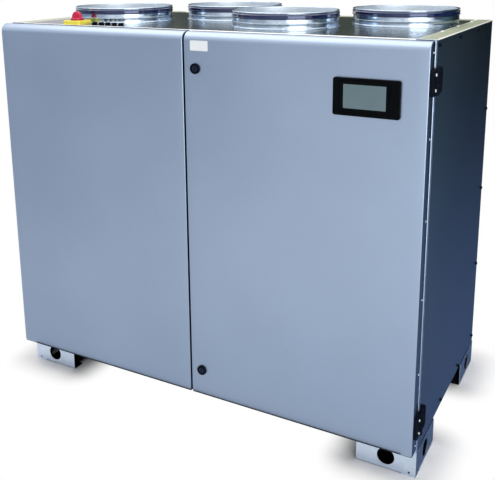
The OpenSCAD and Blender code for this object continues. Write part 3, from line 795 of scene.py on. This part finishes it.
seal = lathe(lip, seal_n)
for i, middle in enumerate(spigot_mid, 1):
    place = [*middle, top_z]
    made = piece(f"spigot_tube_{i}", [(wall[:5] + place, True, 1), (wall[4:] + place, True, 0)],
                 [tube_zinc, bore_zinc], "casing")
    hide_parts(f"spigot_{i}")
    made = piece(f"lip_seal_{i}", [(seal + place, True, 0)], [black_epdm], "casing",
                 sharp=60)
    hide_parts(f"spigot_seal_{i}")
print("spigots at", [np.round(m, 1).tolist() for m in spigot_mid])

# %% [markdown]
# ## Hinges
# The hinges are moulded: thick leaves with soft edges, one half of a round knuckle each, and the
# pin between them. Each leaf is a stack of rounded rectangles, the knuckle a turned profile.

# %% Hinges
pin_x, pin_y, pin_r, post_n = 1386.5, 47.0, 2.9, 40
leaf_t, leaf_r, leaf_edge, knuckle_r = 8.0, 14.0, 1.8, 6.0
frame_leaf, door_leaf, leaf_clear = 50.0, 42.0, 7.5
web_w, web_past, web_r, web_sunk, web_play = 18, 1, 2.0, 0.6, 0.6
knuckle_play, knuckle_soft, pin_soft, pin_low, pin_high = 0.5, 1.0, 0.8, 2, 3
leaf_screw = 19


def leaf_grid(y0, y1, z0, z1, corner_r, thick):
    """A leaf as a stacked plate against the casing's side: y and z span it, x is its height."""
    stack = stacked(abs(y1 - y0), z1 - z0, corner_r, round_edge(leaf_edge, thick))
    return np.stack([casing_w + stack[..., 2], (y0 + y1) / 2 + stack[..., 0],
                     (z0 + z1) / 2 + stack[..., 1]], -1)


def on_pin(r, z0, z1, soft):
    """A post round the axis of the hinge pin with softened ends: middle, rim, side, rim, middle."""
    post = run((0, z0), arc((r - soft, z0 + soft), soft, 270, 360, 5),
               arc((r - soft, z1 - soft), soft, 0, 90, 5), (0, z1))
    return lathe(post, post_n) + [pin_x, pin_y, 0]


screw_spots = []
web_t = leaf_t - web_sunk
for place in ("upper", "lower"):
    low, high = layout_box(f"hinge_frame_leaf_{place}")
    z0, z1 = low[2], high[2]
    half = (z0 + z1) / 2
    frame_half = [leaf_grid(pin_y + leaf_clear, pin_y + frame_leaf, z0, z1, leaf_r, leaf_t),
                  leaf_grid(pin_y - web_past, pin_y + web_w, z0, half - web_play, web_r, web_t),
                  on_pin(knuckle_r, z0, half - knuckle_play, knuckle_soft),
                  on_pin(pin_r, z0 + pin_low, z1 - pin_high, pin_soft)]
    door_half = [leaf_grid(pin_y - door_leaf, pin_y - leaf_clear, z0, z1, leaf_r, leaf_t),
                 leaf_grid(pin_y - web_w, pin_y + web_past, half + 0.1, z1, web_r, web_t),
                 on_pin(knuckle_r, half, z1, knuckle_soft)]
    for side, grids, body in (("frame", frame_half, "casing"), ("door", door_half, "door")):
        made = piece(f"hinge_{side}_half_{place}", [(grid, True, 0) for grid in grids],
                     [black_nylon], body)
        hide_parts(f"hinge_{side}_leaf_{place}")
    screw_spots += [half - leaf_screw, half + leaf_screw]
print("hinge screws at heights", np.round(screw_spots, 1).tolist())

# %% [markdown]
# ## Display
# The display is a moulded frame round a sunk cell. The frame is one loft: out over the soft outer
# edge, across the face with its fine groove, and down a slope to the cell. The window is a little
# smaller than the cell and sits off its middle, as on the real one.

# %% Display frame
low, high = layout_box("display_bezel")
cell_low, cell_high = layout_box("display_screen")
bezel_r, bezel_edge, bezel_t = 6.0, 3.2, 8.0
window_less, window_off = [2.5, 4.5], [1.0, 2.0]
opening = [(11.4, 8.0), (11.0, 7.2), (9.8, 7.2), (9.4, 8.0), (8.4, 7.7), (1.2, 6.6), (0.4, 6.2),
           (0.0, 5.4)]
rim = round_edge(bezel_edge, bezel_t)
outer = stacked(high[0] - low[0], high[2] - low[2], bezel_r, rim)[1:-1]
mid, cell_mid = (low + high) / 2, (cell_low + cell_high) / 2
shift = (cell_mid - mid)[[0, 2]] + window_off
window = (cell_high - cell_low)[[0, 2]] - window_less
inner = np.stack([np.c_[rounded_ring(*(window + 2 * grow), 2.0 + grow / 2) + shift, np.full(ring_n, z)]
                  for grow, z in opening])
loft = np.concatenate([outer, inner])
frame_grid = np.stack([mid[0] + loft[..., 0], high[1] - loft[..., 2], mid[2] + loft[..., 1]], -1)
made = piece("display_frame", [(frame_grid, True, 0)], [black_abs], "door")
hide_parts("display_bezel")
print("display frame", len(made.data.polygons), "faces")

# %% [markdown]
# ## Quarter-turn locks
# A lock is a round moulded housing with a slotted key in it, and a flat tongue on the key's far
# end that turns behind the frame. Housing and key are outlines turned round the lock's axis; the
# slot is worked into the grid of the key's face, so that no boolean is needed.

# %% Quarter-turn locks
lock_x, lock_n, lying = 729.0, 64, [0, 2, 1]
key_r, stem_r, housing_back, slot_soft, dome_h = 8.0, 5.0, 41.0, 0.5, 0.4
tongue_w, tongue_l, tongue_r, tongue_y, tongue_up = 14.0, 47.0, 6.7, 57.0, 16.5
housing = run((8.3, -5.4), arc((9.2, -5.1), 0.9, 180, 270, 5), arc((12.6, -3.6), 2.4, 270, 360, 7),
              (15.0, -0.6), (15.0, 0.0), (11.0, 0.0), (11.0, housing_back), (8.3, housing_back),
              (8.3, -5.4))


def slotted_face(radius, sink, half_w, half_l, depth, rings=14):
    """A round face with a straight slot: height is a small dome, less the slot's depth where both
    coordinates lie within the slot. Rows run from the rim to the middle."""
    r = radius * np.linspace(1, 0, rings)[:, None]
    a, b = r * np.cos(full_turn(lock_n)), r * np.sin(full_turn(lock_n))
    in_w = np.clip((half_w - np.abs(a)) / slot_soft, 0, 1)
    in_l = np.clip((half_l - np.abs(b)) / slot_soft, 0, 1)
    dome = dome_h * (1 - (r / radius) ** 2)
    return np.stack([a, sink - dome + depth * (in_w * in_l), b], -1)


shell = lathe(housing, lock_n)[..., lying]
face = slotted_face(key_r, sink=-4.6, half_w=1.6, half_l=5.6, depth=3.0)
stem = run((key_r, housing_back), (stem_r, housing_back), (stem_r, tongue_y), (0.0, tongue_y))
key = np.concatenate([face[::-1], lathe(stem, lock_n)[..., lying]])
plate = stacked(tongue_w, tongue_l, tongue_r, [(0.6, 0.0), (0.0, 0.5), (0.0, 2.5), (0.6, 3.0)])
tongue = np.stack([plate[..., 0], tongue_y + plate[..., 2], tongue_up + plate[..., 1]], -1)
for place in ("upper", "lower"):
    low, high = layout_box(f"lock_housing_{place}")
    middle = [lock_x, 0, (low[2] + high[2]) / 2]
    made = piece(f"lock_body_{place}", [(shell + middle, True, 0)], [black_nylon], "door")
    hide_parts(f"lock_housing_{place}")
    made = piece(f"lock_key_{place}", [(key + middle, True, 0), (tongue + middle, True, 1)],
                 [key_zinc, screw_zinc], f"{place}_lock")
    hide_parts(f"lock_insert_{place}")
    print(made.name, "at height", round(middle[2], 1))

# %% [markdown]
# ## Main switch and cable grommets
# The switch is a yellow plate with a low collar and a red knob: a ribbed disc with a rounded grip
# across it. The disc is turned, with a cosine for the ribs; the grip is one rounded outline swept
# over half a circle. The grommets are turned rings in a row.

# %% Main switch
low, high = layout_box("switch_plate")
switch = (low + high)[:2] / 2
switch_t, switch_r, switch_edge = 12.0, 6.0, 3.0
collar_r, collar_n, knob_lift = 24.5, 64, 12.3
plate = stacked(high[0] - low[0], high[1] - low[1], switch_r, round_edge(switch_edge, switch_t))
collar = run((0, 11.5), (collar_r, 11.5), arc((collar_r - 0.6, 11.6), 0.6, 0, 90, 4), (0, 12.2))
collar = lathe(collar, collar_n)
patches = [(plate + [*switch, top_z], True, 0), (collar + [*switch, top_z - 0.2], True, 0)]
made = piece("switch_base", patches, [yellow_abs], "casing")
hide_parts("switch_plate")

rib_n, rib_deep, ribs_from, knob_n = 24, 0.02, 18.0, 96
grip_rise, grip_n = 1.18, 33
knob_mid = [*switch, top_z + knob_lift]
base = run((0, 0.0), (19.4, 0.0), (20.0, 0.8), (19.6, 4.0), arc((17.4, 4.4), 2.4, 0, 90, 7), (0, 6.9))
ribs = 1 - rib_deep * (0.5 + 0.5 * np.cos(rib_n * full_turn(knob_n)))
disc = lathe(base, knob_n, base[:, :1] * np.where(base[:, :1] > ribs_from, ribs, 1.0))
rim = run((0.0, -6.5), (14.6, -6.5), arc((14.6, -4.1), 2.4, -90, 0, 6),
          arc((14.6, 4.1), 2.4, 0, 90, 6), (0.0, 6.5))
half_turn = np.radians(np.linspace(0, 180, grip_n))[:, None]
grip = np.stack([rim[:, 0] * np.cos(half_turn), np.broadcast_to(rim[:, 1], (grip_n, len(rim))),
                 6.5 + grip_rise * rim[:, 0] * np.sin(half_turn)], -1)
sole = np.stack([grip[0], grip[-1]])
patches = [(disc + knob_mid, True, 0), (grip + knob_mid, False, 0), (sole + knob_mid, False, 0)]
made = piece("switch_handle", patches, [red_abs], "main_switch")
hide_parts("switch_knob")
print("switch at", np.round(switch, 1).tolist())

# %% Cable grommets
grommet_r, grommet_n, round_n = 9.0, 5, 32
grommet = run((3.5, 0.0), (grommet_r, 0.0), (grommet_r, 2.0), (7.6, 2.6), (7.6, 4.2), (8.8, 4.8),
              arc((7.2, 6.2), 1.7, 0, 90, 6), (5.0, 7.9), (3.5, 6.8), (3.5, 0.0))
low, high = layout_box("cable_grommets")
spots = np.linspace(low[0] + grommet_r, high[0] - grommet_r, grommet_n)
row_y = (low[1] + high[1]) / 2
rows = [(lathe(grommet, round_n) + [x, row_y, top_z], True, 0) for x in spots]
made = piece("cable_entry_row", rows, [black_nylon], "casing")
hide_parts("cable_grommets")
print("grommets at", np.round(spots, 1).tolist())

# %% [markdown]
# ## Screws, rivets and plugs
# Small fasteners give a cabinet its scale. A screw head is a shallow dome on a polar grid, with a
# cross cut into it where the point lies inside either arm. All heads on one body are one mesh:
# the grid is broadcast over the list of places and turned to face out of its panel.

# %% Screw heads
rim_steps = np.array([1.0, 1.0, 0.93, 0.8, 0.66, 0.62, 0.4, 0.2, 0.0])[:, None]
rim_lift = np.array([0.0, 0.35, 0.7, 0.9, 0.97, 0.98, 1.0, 1.0, 1.0])[:, None]
arm_w, arm_l, arm_deep, head_n = 0.16, 0.64, 0.7, 32


def heads(places, facing, radius, height, cross):
    """Screw heads at many places, one patch each: rows run from the rim to the middle of a dome of
    the given height; within the arms of the cross the dome is cut down."""
    r, lift = radius * rim_steps, height * rim_lift
    a, b = r * np.cos(full_turn(head_n)), r * np.sin(full_turn(head_n))
    arm = (np.minimum(np.abs(a), np.abs(b)) < arm_w * radius) & (r < arm_l * radius)
    up = np.broadcast_to(lift, a.shape) - (arm_deep * height * arm if cross else 0.0)
    out = np.asarray(facing, float)
    along = np.eye(3)[2 if abs(out[2]) < 0.5 else 0]
    across = np.cross(along, out)
    dome = a[..., None] * across + b[..., None] * along + up[..., None] * out
    return [(dome + place, True, 0) for place in np.asarray(places, float)]


print("a head has", rim_steps.size, "rows")

# %% Fasteners on the casing
plug_z, plug_y = (105, 374, 643, 912), (307, 527)
side_x, back_y = casing_w - proud, layout_box("back_panel")[1][1] - proud
side_plugs = [(side_x, 731, z) for z in plug_z]
side_plugs += [(side_x, y, top_z - 15) for y in (86, *plug_y)] + [(side_x, y, 94) for y in plug_y]
left_plugs = [(proud, y, z) for x, y, z in side_plugs]
back_rows = [(x, back_y, z) for z in (94, 1181) for x in (75, 382, 690, 998, 1305)]
back_rows += [(x, back_y, z) for z in plug_z[1:] for x in (75, 1305)]
strip_rows = [(x, y, top_z - 0.1) for x in (1336, 44) for y in (281, 461, 641)]
strip_rows += [(x, 722, top_z - 0.1) for x in (240, 540, 840, 1140)]
plug_r, plug_h, screw_r, rivet_h = 5.0, proud + 3.0, 4.6, 2.4
patches = heads(side_plugs, (1, 0, 0), plug_r, plug_h, True)
patches += heads(left_plugs, (-1, 0, 0), screw_r, proud, True)
patches += heads(back_rows, (0, 1, 0), screw_r, proud, True)
piece("panel_screws", patches, [black_nylon], "casing", sharp=30)
# The rivets take the same pale zinc: a painted highlight on each head.
piece("strip_rivets", heads(strip_rows, (0, 0, 1), screw_r, rivet_h, False), [painted_highlight_zinc], "casing",
      sharp=50)
print("fasteners", len(side_plugs) * 2 + len(back_rows) + len(strip_rows), "on the casing")

# %% Fasteners on hinges and door
leaf_x = casing_w + leaf_t - 0.2
frame_screws = [(leaf_x, pin_y + 26, z) for z in screw_spots]
door_screws = [(leaf_x, 30, z) for z in screw_spots]
edge_rivets = [(casing_w - 0.1, 33, z) for z in (110, 321, 533, 745, 956, 1167)]
piece("hinge_frame_screws", heads(frame_screws, (1, 0, 0), 4.4, 1.6, True), [black_nylon], "casing",
      sharp=30)
patches = heads(door_screws, (1, 0, 0), 4.4, 2.4, True)
patches += heads(edge_rivets, (1, 0, 0), 3.2, 1.4, False)
piece("door_edge_screws", patches, [screw_zinc], "door", sharp=30)
print("fasteners", len(frame_screws + door_screws + edge_rivets), "on hinges and door")

# %% [markdown]
# ## Blank label plate
# A small white film plate sits at the top left of the door. It is left blank.

# %% Label plate
label_x, label_z, label_w, label_h = 742.0, 1158.5, 57.0, 28.0
label_r, label_sunk = 2.0, 0.15
plate = stacked(label_w, label_h, label_r, [(0.0, 0.0), (0.0, 0.2), (0.2, 0.4)])
film = np.stack([label_x + plate[..., 0], label_sunk - plate[..., 2], label_z + plate[..., 1]], -1)
made = piece("label_plate", [(film, True, 0)], [white_film], "door")
print(made.name, label_w, "by", label_h, "mm")

# %% [markdown]
# ## Finishes on the CAD pieces
# The flat sheet parts keep their CAD shape. Each takes the finish of its slot in the record; the
# rails, posts and the post behind the split take lots of zinc of their own: the rails a pale zinc,
# lightened as a painted highlight along their top edge, and the post behind the split a dark zinc,
# painted shade for the gap between the fronts.

# %% CAD finishes
by_slot = {"painted_silver": silver, "galvanised": top_zinc, "spigot_zinc": tube_zinc,
           "foot_zinc": foot_zinc, "black_rubber": black_epdm, "black_plastic": black_nylon,
           "screen_glass": display_cell, "yellow_plastic": yellow_abs, "red_plastic": red_abs}
frame_finish = {"front_rail": rail_zinc_painted_highlight, "front_post": corner_zinc, "centre": gap_zinc_painted_shade}
for part in frame["record"]["subparts"]:
    kind = part["node"].rsplit("_", 1)[0]
    for held in frame["nodes"][part["node"]].material_slots:
        held.material = frame_finish.get(kind, by_slot[part["material_slot"]])

# %% Sizes and finish
low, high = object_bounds()
print("visual box", [round(v, 4) for v in (*low, *high)])
